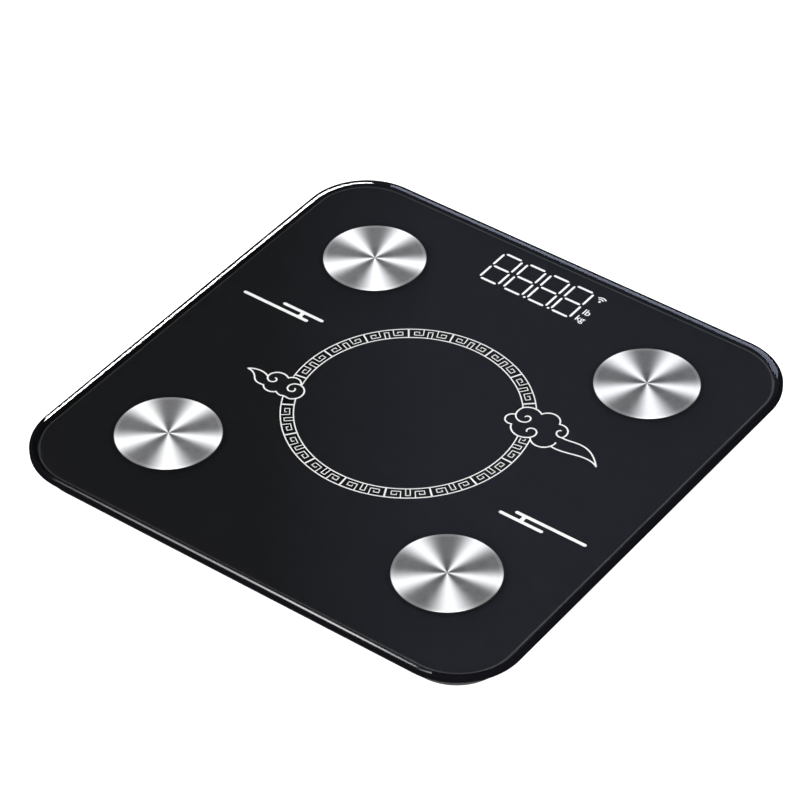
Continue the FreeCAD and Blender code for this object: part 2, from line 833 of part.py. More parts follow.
# ---- display --------------------------------------------------------------------------------------
def display_board():
    """The board behind the digits, with a land for the ribbon along its front edge."""
    reach = display_screw_x + standoff_radius
    front = display_y - housing_half_y - ribbon_land
    rear = display_y + housing_half_y
    board = box(display_offset_x - reach, display_offset_x + reach, front, rear, display_board_bottom,
                display_board_top)
    holes = [cylinder(x, y, display_board_bottom, display_board_top, screw_radius + 0.2)
             for x, y in display_post_places()]
    return cut_all(board, holes)


def segment_boxes(left, middle_y):
    """The seven bars of a digit, as (x0, x1, y0, y1)."""
    right = left + digit_width
    low = middle_y - digit_height / 2
    high = middle_y + digit_height / 2
    w = segment_width
    inner = w + 0.1
    bars = []
    for y in (low, middle_y - w / 2, high - w):
        bars.append((left + inner, right - inner, y, y + w))
    for x in (left, right - w):
        bars.append((x, x + w, low + inner, middle_y - w / 2 - 0.1))
        bars.append((x, x + w, middle_y + w / 2 + 0.1, high - inner))
    return bars


def display_housing():
    """The light block: a well for each bar, point and unit mark."""
    x0 = display_offset_x - housing_half_x
    x1 = display_offset_x + housing_half_x
    block = box(x0, x1, display_y - housing_half_y, display_y + housing_half_y, display_board_top, housing_top)
    digits_left = display_offset_x - 31.8
    wells = []
    for i in range(digit_count):
        for bar in segment_boxes(digits_left + i * digit_pitch, display_y):
            wells.append(box(*bar, display_board_top, housing_top))
    for i in (1, 2):
        x = digits_left + (i + 1) * digit_pitch - 0.8
        wells.append(cylinder(x, display_y - digit_height / 2 + 0.9, display_board_top, housing_top, 0.55))
    mark_x = digits_left + digit_count * digit_pitch + 3.2
    for y, height in ((9.6, 5.0), (-3.3, 4.0), (-9.9, 4.8)):
        wells.append(box(mark_x - 2.4, mark_x + 2.4, display_y + y - height / 2, display_y + y + height / 2,
                         display_board_top, housing_top))
    return cut_all(block, wells)


def display_diffuser():
    """The milky film over the light block."""
    x0 = display_offset_x - housing_half_x
    x1 = display_offset_x + housing_half_x
    return box(x0, x1, display_y - housing_half_y, display_y + housing_half_y, housing_top,
               housing_top + diffuser_thickness)


def display_screws():
    """The two screws of the display board."""
    grip = display_board_top - floor_top - 1.0
    return [pan_screw(x, y, display_board_top, grip) for x, y in display_post_places()]


def display_ribbon():
    """The flat cable from the main board up to the display board."""
    near = board_y + board_depth / 2 - 4.6
    far = display_y - housing_half_y - 0.4
    low_z = board_top + 1.2
    thick = 0.35
    steps = [(near, low_z), (near + 8.0, low_z), (far - 2.6, display_board_top), (far, display_board_top)]
    lower = [V(-8.0, y, z) for y, z in steps]
    upper = [V(-8.0, y, z + thick) for y, z in reversed(steps)]
    profile = Part.makePolygon(lower + upper + [lower[0]])
    return Part.Face(profile).extrude(V(16.0, 0, 0))


# ---- wiring ---------------------------------------------------------------------------------------
wire_z = terminal_z - 0.8
plug_z = board_top + 2.4
wire_bend = 4.0
lane_x = half_w * 0.46


def plug_y(row):
    """Where a wire of a given row enters the board's end socket."""
    return board_y + plug_rows[row]


def electrode_wire(side_x, side_y):
    """The wire from a disc's terminal to the main board."""
    start_x = disc_x - terminal_length
    start = (start_x, side_y * disc_y, wire_z)
    if side_y > 0:
        row = 3
        route = [start, (start_x - 9.0, disc_y, wire_z), (lane_x - 4.0, plug_y(row), plug_z)]
    else:
        row = 0
        route = [start, (lane_x + 1.0, -disc_y, wire_z), (lane_x + 1.0, bay_y, wire_z - 0.4),
                 (lane_x - 6.0, plug_y(row), plug_z)]
    route.append((connector_x, plug_y(row), plug_z))
    return routed([(side_x * x, y, z) for x, y, z in route], wire_radius, wire_bend)


def cell_cable(side_x, side_y):
    """The cable from a load cell's gauge to the main board."""
    diagonal = 1 / sqrt(2)
    start_x = foot_x - (relief_half + 1.0) * diagonal
    start_y = foot_y - (relief_half + 1.0) * diagonal
    out_x = foot_x - (bracket_half + 4.5) * diagonal
    out_y = foot_y - (bracket_half + 4.5) * diagonal
    low_plug = board_top + 1.1
    start = (start_x, side_y * start_y, cable_z)
    leave = (out_x, side_y * out_y, cable_z)
    if side_y > 0:
        row = 2
        route = [start, leave, (lane_x + 2.0, plug_y(row), low_plug)]
    else:
        row = 1
        route = [start, leave, (lane_x + 7.0, -disc_y + 18.0, cable_z), (lane_x + 7.0, bay_y, cable_z),
                 (lane_x + 1.0, plug_y(row), low_plug)]
    route.append((connector_x, plug_y(row), low_plug))
    return routed([(side_x * x, y, z) for x, y, z in route], cable_radius, wire_bend)


def battery_leads():
    """The two wires from the battery bay to the main board."""
    leads = []
    for side in (-1, 1):
        x = side * 12.0
        y0 = bay_y + bay_half_y + bay_wall
        y1 = board_y - board_depth / 2 + 3.0
        z = board_top + 2.0
        leads.append(routed([(x, y0, z), (x, y1, z), (x, y1, board_top)], wire_radius, 1.2))
    return leads


# ---- write every node -----------------------------------------------------------------------------
os.makedirs("parts", exist_ok=True)

save("glass_platform", glass_platform())
save("printed_backing", printed_backing())
save("display_window", display_window())
save("platform_tape", platform_tape())
save("disc_adhesive", disc_adhesive())
save("electrode_nuts", electrode_nuts())
save("ring_terminals", ring_terminals())
save("base_shell", base_shell())
save("battery_door", battery_door())
save("battery_front", battery(-1))
save("battery_rear", battery(1))
save("contact_springs", contact_springs())
save("contact_plates", contact_plates())
save("strain_gauges", strain_gauges())
save("bracket_tape", bracket_tape())
save("bracket_screws", bracket_screws())
save("main_board", main_board())
save("board_screws", board_screws())
save("main_chip", main_chip())
save("wireless_module", wireless_module())
save("board_capacitors", board_capacitors())
save("board_connectors", board_connectors())
save("unit_button", unit_button())
save("unit_switch", unit_switch())
save("unit_switch_stem", unit_switch_stem())
save("display_board", display_board())
save("display_housing", display_housing())
save("display_diffuser", display_diffuser())
save("display_screws", display_screws())
save("display_ribbon", display_ribbon())
save("battery_leads", battery_leads())

for corner, (side_x, side_y) in CORNERS.items():
    save(f"electrode_disc_{corner}", electrode_disc(side_x * disc_x, side_y * disc_y))
    save(f"electrode_wire_{corner}", electrode_wire(side_x, side_y))
    save(f"foot_cup_{corner}", at_corner(foot_cup(), side_x, side_y))
    save(f"foot_pad_{corner}", at_corner(foot_pad(), side_x, side_y))
    save(f"load_cell_{corner}", at_corner(load_cell(), side_x, side_y))
    save(f"cell_bracket_{corner}", at_corner(cell_bracket(), side_x, side_y))
    save(f"cell_cable_{corner}", cell_cable(side_x, side_y))
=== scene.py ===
from math import atan2, cos, hypot, pi, radians, sin, tan

import bmesh
import bpy
from mathutils import Matrix, Vector


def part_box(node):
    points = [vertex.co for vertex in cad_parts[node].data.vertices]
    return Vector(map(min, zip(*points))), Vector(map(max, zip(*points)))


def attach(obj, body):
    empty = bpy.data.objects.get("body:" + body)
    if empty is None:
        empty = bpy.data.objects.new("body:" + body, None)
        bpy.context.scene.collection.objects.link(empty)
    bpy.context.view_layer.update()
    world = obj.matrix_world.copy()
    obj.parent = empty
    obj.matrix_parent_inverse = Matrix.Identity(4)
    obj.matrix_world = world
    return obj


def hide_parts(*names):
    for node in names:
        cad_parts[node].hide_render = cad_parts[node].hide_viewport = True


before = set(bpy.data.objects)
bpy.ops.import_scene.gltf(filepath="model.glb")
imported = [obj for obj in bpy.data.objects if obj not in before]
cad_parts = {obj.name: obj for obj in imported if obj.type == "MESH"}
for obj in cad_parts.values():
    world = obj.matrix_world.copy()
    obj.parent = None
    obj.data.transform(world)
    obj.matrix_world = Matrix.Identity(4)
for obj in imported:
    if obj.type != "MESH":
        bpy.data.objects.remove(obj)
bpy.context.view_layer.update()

# A digital bathroom scale: a black back-printed glass platform with four turned steel discs, on a
# shallow plastic base.  Metres, +Z up, the display at the +Y edge.  Drawings of the printed line
# work are in millimetres from the middle of the platform.

MM = 0.001
BODY = "scale_body"
CORNERS = ("front_left", "front_right", "rear_left", "rear_right")


def every(prefix):
    """A node's name at each of the four corners."""
    return [f"{prefix}_{corner}" for corner in CORNERS]


glass_low, glass_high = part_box("glass_platform")


# ---- camera --------------------------------------------------------------------------------------
CAMERA_AZIMUTH = radians(36.94)
CAMERA_ELEVATION = radians(40.99)
CAMERA_ROLL = radians(-0.612)
CAMERA_DISTANCE = 1.868
CAMERA_TARGET = Vector((-7.28 * MM, 2.34 * MM, glass_high.z))
CAMERA_LENS = 173.68
CAMERA_SENSOR = 36.0
CAMERA_REACH = 50.0


def studio_camera():
    """The camera, turned about the point it looks at by its azimuth, elevation and roll."""
    level = cos(CAMERA_ELEVATION)
    back = Vector((sin(CAMERA_AZIMUTH) * level, -cos(CAMERA_AZIMUTH) * level,
                   sin(CAMERA_ELEVATION)))
    right = Vector((cos(CAMERA_AZIMUTH), sin(CAMERA_AZIMUTH), 0))
    upright = Matrix((right, back.cross(right), back)).transposed()
    turned = Matrix.Rotation(CAMERA_ROLL, 3, back) @ upright
    data = bpy.data.cameras.new("studio_camera")
    data.sensor_width = CAMERA_SENSOR
    data.lens = CAMERA_LENS
    data.clip_end = CAMERA_REACH
    camera = bpy.data.objects.new("studio_camera", data)
    stand = CAMERA_TARGET + back * CAMERA_DISTANCE
    camera.matrix_world = Matrix.LocRotScale(stand, turned, None)
    bpy.context.scene.collection.objects.link(camera)
    bpy.context.scene.camera = camera


# ---- shader arithmetic ---------------------------------------------------------------------------
class Socket:
    """A node's output that can be used in plain arithmetic."""

    def __init__(self, finish, output):
        self.finish = finish
        self.output = output

    def maths(self, operation, *others):
        values = {i: value for i, value in enumerate(others)}
        return self.finish.node("ShaderNodeMath", {"operation": operation}, values)[0]

    def __add__(self, other):
        return self.maths("ADD", self, other)

    def __radd__(self, other):
        return self.maths("ADD", other, self)

    def __sub__(self, other):
        return self.maths("SUBTRACT", self, other)

    def __rsub__(self, other):
        return self.maths("SUBTRACT", other, self)

    def __mul__(self, other):
        return self.maths("MULTIPLY", self, other)

    def __rmul__(self, other):
        return self.maths("MULTIPLY", other, self)

    def __truediv__(self, other):
        return self.maths("DIVIDE", self, other)

    def __pow__(self, other):
        return self.maths("POWER", self, other)

    def sin(self):
        return self.maths("SINE", self)

    def clamped(self):
        """Held between 0 and 1."""
        return self.maths("MINIMUM", self.maths("MAXIMUM", self, 0.0), 1.0)

    def above(self, edge, blur):
        """0 below the edge and 1 above it, with a soft step."""
        return ((self - edge) / blur + 0.5).clamped()


class Finish:
    """A material under construction."""

    def __init__(self, name):
        self.material = bpy.data.materials.new(name)
        self.material.use_nodes = True
        self.tree = self.material.node_tree
        self.tree.nodes.clear()

    def node(self, kind, settings=None, values=None):
        """Adds a node with its settings, then fills or links its inputs; returns its outputs."""
        made = self.tree.nodes.new(kind)
        for name, setting in (settings or {}).items():
            if name == "stops":
                self.set_stops(made.color_ramp, setting)
            else:
                setattr(made, name, setting)
        for key, value in (values or {}).items():
            if isinstance(value, Socket):
                self.tree.links.new(value.output, made.inputs[key])
            else:
                made.inputs[key].default_value = value
        return [Socket(self, output) for output in made.outputs]

    def set_stops(self, ramp, stops):
        while len(ramp.elements) < len(stops):
            ramp.elements.new(0.5)
        for element, (place, colour) in zip(ramp.elements, stops):
            element.position = place
            element.color = colour

    def place(self, centre=(0, 0, 0), turn=(0, 0, 0), scale=(1, 1, 1)):
        """Object coordinates about a centre, turned and stretched, as a vector."""
        coordinates = self.node("ShaderNodeTexCoord")[3]
        moved = self.node("ShaderNodeVectorMath", {"operation": "SUBTRACT"},
                          {0: coordinates, 1: centre})[0]
        return self.node("ShaderNodeMapping", {"vector_type": "POINT"},
                         {"Vector": moved, "Rotation": turn, "Scale": scale})[0]

    def noise(self, size, detail=3.0, vector=None, roughness=0.55):
        """Cloudy noise from 0 to 1 with features of about a size in metres."""
        values = {"Vector": vector or self.place(), "Scale": 1 / size, "Detail": detail,
                  "Roughness": roughness}
        return self.node("ShaderNodeTexNoise", None, values)[0]

    def axes(self, vector):
        """The three parts of a vector."""
        return self.node("ShaderNodeSeparateXYZ", None, {"Vector": vector})

    def blend(self, factor, first, second):
        """A mix of two colours."""
        mixed = self.node("ShaderNodeMix", {"data_type": "RGBA"}, {0: factor, 6: first, 7: second})
        return mixed[2]

    def bump(self, height, strength, distance):
        """A normal from a height."""
        values = {"Height": height, "Strength": strength, "Distance": distance}
        return self.node("ShaderNodeBump", None, values)[0]

    def shader(self, **values):
        """The Principled shader; underscores in names stand for spaces."""
        named = {key.replace("_", " "): value for key, value in values.items()}
        return self.node("ShaderNodeBsdfPrincipled", None, named)[0]

    def done(self, surface):
        self.node("ShaderNodeOutputMaterial", None, {"Surface": surface})
        return self.material


def grey(value):
    return opaque((value, value, value))


def opaque(colour):
    return (*colour, 1.0)


# ---- finishes ------------------------------------------------------------------------------------
GLASS_BEND = 1.52


def clear_glass():
    """Faintly green toughened glass with wiped-on haze; lamps shine through it."""
    f = Finish("clear_glass")
    haze = f.noise(35 * MM, 4.0).above(0.62, 0.3)
    glass = f.shader(Base_Color=opaque((0.965, 0.975, 0.972)), Roughness=haze * 0.035 + 0.004,
                     IOR=GLASS_BEND, Transmission_Weight=1.0)
    lamp_ray = f.node("ShaderNodeLightPath")[1]
    tint = opaque((0.96, 0.985, 0.975))
    open_way = f.node("ShaderNodeBsdfTransparent", None, {"Color": tint})[0]
    return f.done(f.node("ShaderNodeMixShader", None, {0: lamp_ray, 1: glass, 2: open_way})[0])


# The painted light on the printed ink: how fast it rises towards the rear right, and where it
# starts.
INK_LIGHT_SLOPE = 12.0
INK_LIGHT_START = 0.86
INK_MOTTLING = 0.1


def printed_ink(name, deep, painted_lit):
    """Screen-printed ink under the glass, a touch uneven, with painted light that makes it lighter
    and bluer towards the rear right.
    """
    f = Finish(name)
    x, y, _ = f.axes(f.place())
    # Painted light: the ink is painted lighter and bluer towards the rear right.
    painted_light_ramp = ((x * 0.8 + y * 0.6) * INK_LIGHT_SLOPE + INK_LIGHT_START).clamped()
    mottle = f.noise(12 * MM, 3.0)
    tone = f.blend(painted_light_ramp, opaque(deep), opaque(painted_lit))
    worn = f.blend(mottle * INK_MOTTLING, tone, grey(0.0))
    return f.done(f.shader(Base_Color=worn, Roughness=mottle * 0.15 + 0.5,
                           Specular_IOR_Level=0.0))


def polished_edge():
    """The polished slope of the glass over black: it shows only what it mirrors."""
    f = Finish("polished_edge")
    draw = f.noise(4 * MM, 3.0)
    colour = f.blend(draw, opaque((0.002, 0.002, 0.003)), opaque((0.004, 0.004, 0.006)))
    return f.done(f.shader(Base_Color=colour, Roughness=draw * 0.03 + 0.10, IOR=GLASS_BEND))


def blackened_edge():
    """The matt black seal round the glass's side."""
    f = Finish("blackened_edge")
    grain = f.noise(1.2 * MM, 4.0)
    colour = f.blend(grain, opaque((0.003, 0.003, 0.004)), opaque((0.006, 0.006, 0.008)))
    return f.done(f.shader(Base_Color=colour, Roughness=grain * 0.15 + 0.55,
                           Specular_IOR_Level=0.0, Normal=f.bump(grain, 0.2, 0.02 * MM)))


def white_ink():
    """Opaque white print with the slightly dry look of screen ink."""
    f = Finish("white_ink")
    grain = f.noise(0.6 * MM, 2.0)
    colour = f.blend(grain, opaque((0.60, 0.585, 0.58)), opaque((0.68, 0.665, 0.66)))
    return f.done(f.shader(Base_Color=colour, Roughness=grain * 0.2 + 0.55,
                           Specular_IOR_Level=0.1))


SEGMENT_GLOW = 0.55


def lit_segment():
    """A digit's bar, evenly lit from behind and a little softer towards its skin."""
    f = Finish("lit_segment")
    glow = f.noise(2.5 * MM, 1.0)
    skin = f.blend(glow, grey(0.30), grey(0.36))
    light = f.blend(glow, opaque((0.93, 0.95, 1.0)), grey(1.0))
    return f.done(f.shader(Base_Color=skin, Roughness=glow * 0.1 + 0.5, Specular_IOR_Level=0.1,
                           Emission_Color=light, Emission_Strength=SEGMENT_GLOW))


# The painted sheen on the steel discs: its fans, the painted shade at its hub and the painted
# highlight at its rim.
SHEEN_FANS = 5.0
FIRST_SHEEN_FAN = 18
SHEEN_SHARPNESS = 1.9
SHEEN_LEAN = radians(9)
SHEEN_LEAN_HEADING = radians(105)
HUB_SHADE_REACH = 10 * MM
RIM_HIGHLIGHT_START = 24.4 * MM
RIM_HIGHLIGHT_BLUR = 0.8 * MM
LATHE_PITCH = 0.42 * MM
LATHE_GRAIN = 5200.0


def turned_steel_painted_sheen(name, centre):
    """Steel faced on a lathe: fine rings, and a painted sheen in five soft fans about the middle,
    with painted shade at the hub and a painted highlight at the rim.
    """
    f = Finish(name)
    x, y, _ = f.axes(f.place(centre))
    angle = f.node("ShaderNodeMath", {"operation": "ARCTAN2"}, {0: y, 1: x})[0]
    radius = (x * x + y * y) ** 0.5
    # Painted sheen: five bright and dark fans about the middle stand in for the turned steel's
    # reflection.
    warp = (angle + SHEEN_LEAN_HEADING).sin().clamped() ** 4.0 * SHEEN_LEAN
    wave = ((angle - warp) * SHEEN_FANS + radians(90 - SHEEN_FANS * FIRST_SHEEN_FAN)).sin()
    painted_sheen = ((wave + 1.0) * 0.5) ** SHEEN_SHARPNESS
    # Painted shade: the dark fans are painted deeper towards the hub.
    painted_hub_shade = (radius / HUB_SHADE_REACH).clamped() * 0.5 + 0.5
    # Painted highlight: a thin brighter band at the disc's rim.
    painted_rim_highlight = radius.above(RIM_HIGHLIGHT_START, RIM_HIGHLIGHT_BLUR) * 0.06
    ring = (radius * (2 * pi / LATHE_PITCH)).sin() * 0.5 + 0.5
    fine = f.node("ShaderNodeTexNoise", {"noise_dimensions": "1D"},
                  {"W": radius * LATHE_GRAIN, "Scale": 1.0, "Detail": 2.0})[0]
    scuff = f.noise(4 * MM, 4.0, f.place(centre, scale=(1, 1, 0.2)))
    worn = (scuff - 0.5) * 0.08
    tone = (painted_sheen * 0.86 + 0.14 * painted_hub_shade + painted_rim_highlight + (fine - 0.5) * 0.06 + worn).clamped()
    colour = f.blend(tone, opaque((0.010, 0.010, 0.011)), grey(1.0))
    rings = f.bump(ring * 0.6 + fine * 0.4, 0.15, 0.05 * MM)
    return f.done(f.shader(Base_Color=colour, Metallic=0.5, Roughness=fine * 0.12 + 0.36,
                           Specular_IOR_Level=0.0, Normal=rings))


def moulded_plastic(name, dark, light, grain_size=0.5 * MM, rough=0.5, shine=0.5):
    """Spark-textured moulded plastic with a fine grain and a few rubbed patches."""
    f = Finish(name)
    grain = f.noise(grain_size, 3.0, roughness=0.7)
    patch = f.noise(30 * MM, 4.0).above(0.58, 0.25)
    colour = f.blend(grain * 0.7 + patch * 0.3, opaque(dark), opaque(light))
    return f.done(f.shader(Base_Color=colour, Roughness=grain * 0.16 + rough - patch * 0.1,
                           Specular_IOR_Level=shine, Normal=f.bump(grain, 0.35, 0.04 * MM)))


def soft_rubber(name, dark, light):
    """Matt rubber with dust in its pores."""
    f = Finish(name)
    pores = f.noise(0.9 * MM, 4.0, roughness=0.75)
    dust = f.noise(6 * MM, 3.0).above(0.55, 0.3)
    colour = f.blend((pores * 0.5 + dust * 0.5).clamped(), opaque(dark), opaque(light))
    return f.done(f.shader(Base_Color=colour, Roughness=pores * 0.12 + 0.8,
                           Normal=f.bump(pores, 0.5, 0.08 * MM)))


def plated_metal(name, dark, light, rough=0.28, metallic=1.0):
    """Rolled or plated metal with a drawn grain and faint tarnish."""
    f = Finish(name)
    grain = f.noise(0.4 * MM, 3.0, f.place(scale=(1, 12, 1)))
    tarnish = f.noise(8 * MM, 4.0).above(0.6, 0.3)
    colour = f.blend(grain * 0.5 + tarnish * 0.5, opaque(light), opaque(dark))
    return f.done(f.shader(Base_Color=colour, Metallic=metallic,
                           Roughness=grain * 0.15 + rough + tarnish * 0.1,
                           Normal=f.bump(grain, 0.2, 0.02 * MM)))


TRACK_SCALE = 190.0
PAD_SCALE = 320.0


def circuit_board():
    """Green solder mask over copper tracks, with tinned pads."""
    f = Finish("circuit_board")
    x = f.axes(f.place())[0]
    tracks = f.node("ShaderNodeTexVoronoi", {"feature": "DISTANCE_TO_EDGE"},
                    {"Vector": f.place(turn=(0, 0, radians(45)), scale=(1, 1, 0)),
                     "Scale": TRACK_SCALE, "Randomness": 0.35})[0]
    copper = 1.0 - tracks.above(0.07, 0.03)
    pads = f.node("ShaderNodeTexVoronoi", {"feature": "F1"},
                  {"Vector": f.place(scale=(1, 1, 0)), "Scale": PAD_SCALE, "Randomness": 0.2})[0]
    tinned = (1.0 - pads.above(0.16, 0.04)) * (x * 900.0).sin().above(0.3, 0.4)
    mask = f.blend(copper, opaque((0.010, 0.085, 0.032)), opaque((0.030, 0.190, 0.070)))
    colour = f.blend(tinned, mask, opaque((0.72, 0.72, 0.70)))
    return f.done(f.shader(Base_Color=colour, Metallic=tinned, Roughness=0.3 + tinned * 0.1,
                           Normal=f.bump(copper + tinned, 0.4, 0.04 * MM)))


SLEEVE_END = 21.2 * MM
CUFF_START = 12.0 * MM
SLEEVE_BLUR = 0.2 * MM


def battery_sleeve():
    """A plain two-colour shrink sleeve with bare steel at both ends."""
    f = Finish("battery_sleeve")
    x = f.axes(f.place())[0]
    bare = ((x * x) ** 0.5).above(SLEEVE_END, SLEEVE_BLUR)
    cuff = x.above(CUFF_START, SLEEVE_BLUR)
    seam = f.noise(2 * MM, 3.0)
    sleeve = f.blend(cuff, opaque((0.030, 0.075, 0.160)), opaque((0.62, 0.60, 0.55)))
    colour = f.blend(bare, sleeve, opaque((0.74, 0.74, 0.73)))
    return f.done(f.shader(Base_Color=colour, Metallic=bare, Roughness=seam * 0.1 + 0.25,
                           Normal=f.bump(seam, 0.1, 0.03 * MM)))


def insulated_wire(name, base, streak):
    """Glossy wire insulation with faint drawing streaks."""
    f = Finish(name)
    grain = f.noise(0.7 * MM, 3.0)
    colour = f.blend(grain, opaque(base), opaque(streak))
    return f.done(f.shader(Base_Color=colour, Roughness=grain * 0.15 + 0.35,
                           Normal=f.bump(grain, 0.15, 0.02 * MM)))


def studio_floor():
    """A plain pale matt floor."""
    f = Finish("studio_floor")
    tooth = f.noise(20 * MM, 2.0)
    return f.done(f.shader(Base_Color=f.blend(tooth, grey(0.50), grey(0.52)), Roughness=0.85,
                           Emission_Color=grey(1.0), Emission_Strength=1.0))


# ---- modelling helpers ---------------------------------------------------------------------------
LEVEL = 0.9999
UPRIGHT = 0.001
SAME_HEIGHT = 1e-7


def piece(name, bm, materials, smooth_below=None):
    """Turns a bmesh into a named object that rides on the scale's body."""
    bmesh.ops.recalc_face_normals(bm, faces=bm.faces[:])
    mesh = bpy.data.meshes.new(name)
    if smooth_below is not None:
        for face in bm.faces:
            face.smooth = True
        for edge in bm.edges:
            flat = any(abs(face.normal.z) > LEVEL for face in edge.link_faces)
            edge.smooth = edge.calc_face_angle(0.0) < smooth_below and not flat
    bm.to_mesh(mesh)
    bm.free()
    for material in materials:
        mesh.materials.append(material)
    made = bpy.data.objects.new(name, mesh)
    bpy.context.scene.collection.objects.link(made)
    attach(made, BODY)
    return made


def raise_faces(bm, faces, height):
    """Thickens flat faces upwards."""
    raised = bmesh.ops.extrude_face_region(bm, geom=faces)["geom"]
    verts = [item for item in raised if isinstance(item, bmesh.types.BMVert)]
    bmesh.ops.translate(bm, vec=(0, 0, height), verts=verts)


def slab(bm, outline):
    """Adds a flat patch of ink with an outline in millimetres."""
    face = bm.faces.new([bm.verts.new((x * MM, y * MM, INK_LOW)) for x, y in outline])
    raise_faces(bm, [face], INK_HIGH - INK_LOW)


def bar(bm, start, end, width, point):
    """Adds a straight bar between two places, with a blunt point at each end."""
    low = Vector(start)
    high = Vector(end)
    along = (high - low).normalized()
    side = Vector((-along.y, along.x)) * width / 2
    blunt = side * 0.25
    tip = along * point
    slab(bm, [low + blunt, low - blunt, low + tip - side, high - tip - side,
              high - blunt, high + blunt, high - tip + side, low + tip + side])


STADIUM_STEPS = 8


def stadium(bm, start, end, width):
    """Adds a straight bar with round ends."""
    run = Vector(end) - Vector(start)
    heading = atan2(run.y, run.x)
    outline = []
    for centre, turn in ((Vector(end), -pi / 2), (Vector(start), pi / 2)):
        for i in range(STADIUM_STEPS + 1):
            angle = heading + turn + pi * i / STADIUM_STEPS
            outline.append(centre + Vector((cos(angle), sin(angle))) * width / 2)
    slab(bm, outline)


def sector(bm, r0, r1, a0, a1, z0, z1, step=radians(1.5)):
    """Adds a flat arc-shaped bar round the middle of the platform, radii in millimetres."""
    turn = Matrix.Rotation(a0, 3, "Z")
    corners = [(r0, z0), (r1, z0), (r1, z1), (r0, z1)]
    face = bm.faces.new([bm.verts.new(turn @ Vector((r * MM, 0, z))) for r, z in corners])
    bmesh.ops.spin(bm, geom=[face], cent=(0, 0, 0), axis=(0, 0, 1), angle=a1 - a0,
                   steps=max(1, round(abs(a1 - a0) / step)), use_duplicate=False)


def rounded_plate(bm, half_x, half_y, radius, z0, z1):
    """Adds a plate with round corners to an empty bmesh."""
    bmesh.ops.create_grid(bm, x_segments=1, y_segments=1, size=1.0)
    corners = bm.verts[:]
    bmesh.ops.scale(bm, vec=(half_x, half_y, 1), verts=corners)
    bmesh.ops.translate(bm, vec=(0, 0, z0), verts=corners)
    bmesh.ops.bevel(bm, geom=corners, affect="VERTICES", offset=radius,
                    segments=CORNER_SEGMENTS, profile=0.5, material=-1)
    raise_faces(bm, bm.faces[:], z1 - z0)


# ---- platform ------------------------------------------------------------------------------------
GLASS_CORNER = 34.2 * MM
CORNER_SEGMENTS = 24
GLASS_BACK = glass_low.z + 0.010 * MM
GROUND_LOW = glass_low.z + 0.014 * MM
GROUND_HIGH = glass_low.z + 0.018 * MM
INK_LOW = glass_low.z + 0.022 * MM
INK_HIGH = glass_low.z + 0.045 * MM
SLOPES = ((1.9 * MM, radians(24)), (1.9 * MM, radians(14)), (1.0 * MM, radians(10)))
SIDE_ROUND = 0.49 * MM
BACK_ROUND = 1.1 * MM
ROUND_SEGMENTS = 6
BORDER_WIDTH = 4.7 * MM
BORDER_LINE = 0.8 * MM
FRONT_REACH = cos(radians(16))
SHARP = 0.5
SOFT = radians(12)
CLEAR, INKED, BORDERED, LINED, POLISHED, BLACKENED = range(6)


def rim_edges(bm, z):
    """The outline's edges at a height."""
    return [edge for edge in bm.edges
            if all(abs(vert.co.z - z) < SAME_HEIGHT for vert in edge.verts)]


def glass_platform():
    """The glass: three slopes down to a rounded side, the upper two clear, and ink on its back."""
    bm = bmesh.new()
    side_top = glass_high.z - sum(run * tan(angle) for run, angle in SLOPES)
    rounded_plate(bm, glass_high.x, glass_high.y, GLASS_CORNER, GLASS_BACK, side_top)
    bm.normal_update()
    top = [face for face in bm.faces if face.normal.z > LEVEL]
    back = [face for face in bm.faces if face.normal.z < -LEVEL]
    slopes = [bmesh.ops.inset_region(bm, faces=top, thickness=run, depth=run * tan(angle),
                                     use_even_offset=True)["faces"] for run, angle in SLOPES]
    border, line = [bmesh.ops.inset_region(bm, faces=back, thickness=width,
                                           use_even_offset=True)["faces"]
                    for width in (BORDER_WIDTH, BORDER_LINE)]
    bm.normal_update()
    for faces, index in ((top + slopes[1] + slopes[2], CLEAR), (back, INKED),
                         (border, BORDERED), (line, LINED)):
        for face in faces:
            face.material_index = index
    for face in bm.faces:
        if abs(face.normal.z) < UPRIGHT:
            face.material_index = BLACKENED
    for face in slopes[0]:
        faces_front = -face.normal.xy.normalized().y > FRONT_REACH
        face.material_index = POLISHED if faces_front else BLACKENED
    rounding = {"affect": "EDGES", "segments": ROUND_SEGMENTS, "profile": 0.5,
                "material": BLACKENED}
    bmesh.ops.bevel(bm, geom=rim_edges(bm, side_top), offset=SIDE_ROUND, **rounding)
    outer = [edge for edge in rim_edges(bm, GLASS_BACK) if edge.calc_face_angle(0.0) > SHARP]
    bmesh.ops.bevel(bm, geom=outer, offset=BACK_ROUND, **rounding)
    made = piece("glass_plate", bm, [CLEAR_GLASS, BLACK_INK, BORDER_BLACK, BORDER_GREY,
                                     POLISHED_EDGE, BLACKENED_EDGE], smooth_below=SOFT)
    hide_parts("glass_platform")


# ---- printed line work ---------------------------------------------------------------------------
RING_OUTER = 61.95
RING_INNER = 55.55
RING_LINE = 0.59
FRET_LINE = 0.48
FRET_BAR = 0.84
RING_SHIFT = Vector((-0.70, 0.20, 0)) * MM
LARGE_CLOUD_SHIFT = Vector((-0.14, 0.45, 0)) * MM
SMALL_CLOUD_SHIFT = Vector((-0.88, -0.31, 0)) * MM
DASH_SHIFT = Vector((-0.77, 0.27, 0)) * MM
FRET_COUNT = 17
FRET_START = radians(359.2)
FRET_PITCH = 2 * pi / FRET_COUNT
FRET_STEP = radians(3)
RING_MIDDLE = (RING_OUTER + RING_INNER) / 2
CLOUD_SPANS = {RING_OUTER: ((37.7, 191.4), (205.0, 376.5)),
               RING_INNER: ((39.2, 195.4), (206.0, 377.0))}
GROUND_SPANS = ((38.4, 193.0), (205.5, 376.6))
HIDDEN_FRETS = (7, 15)
CUT_FRET = 16
CUT_REACH = 4.2
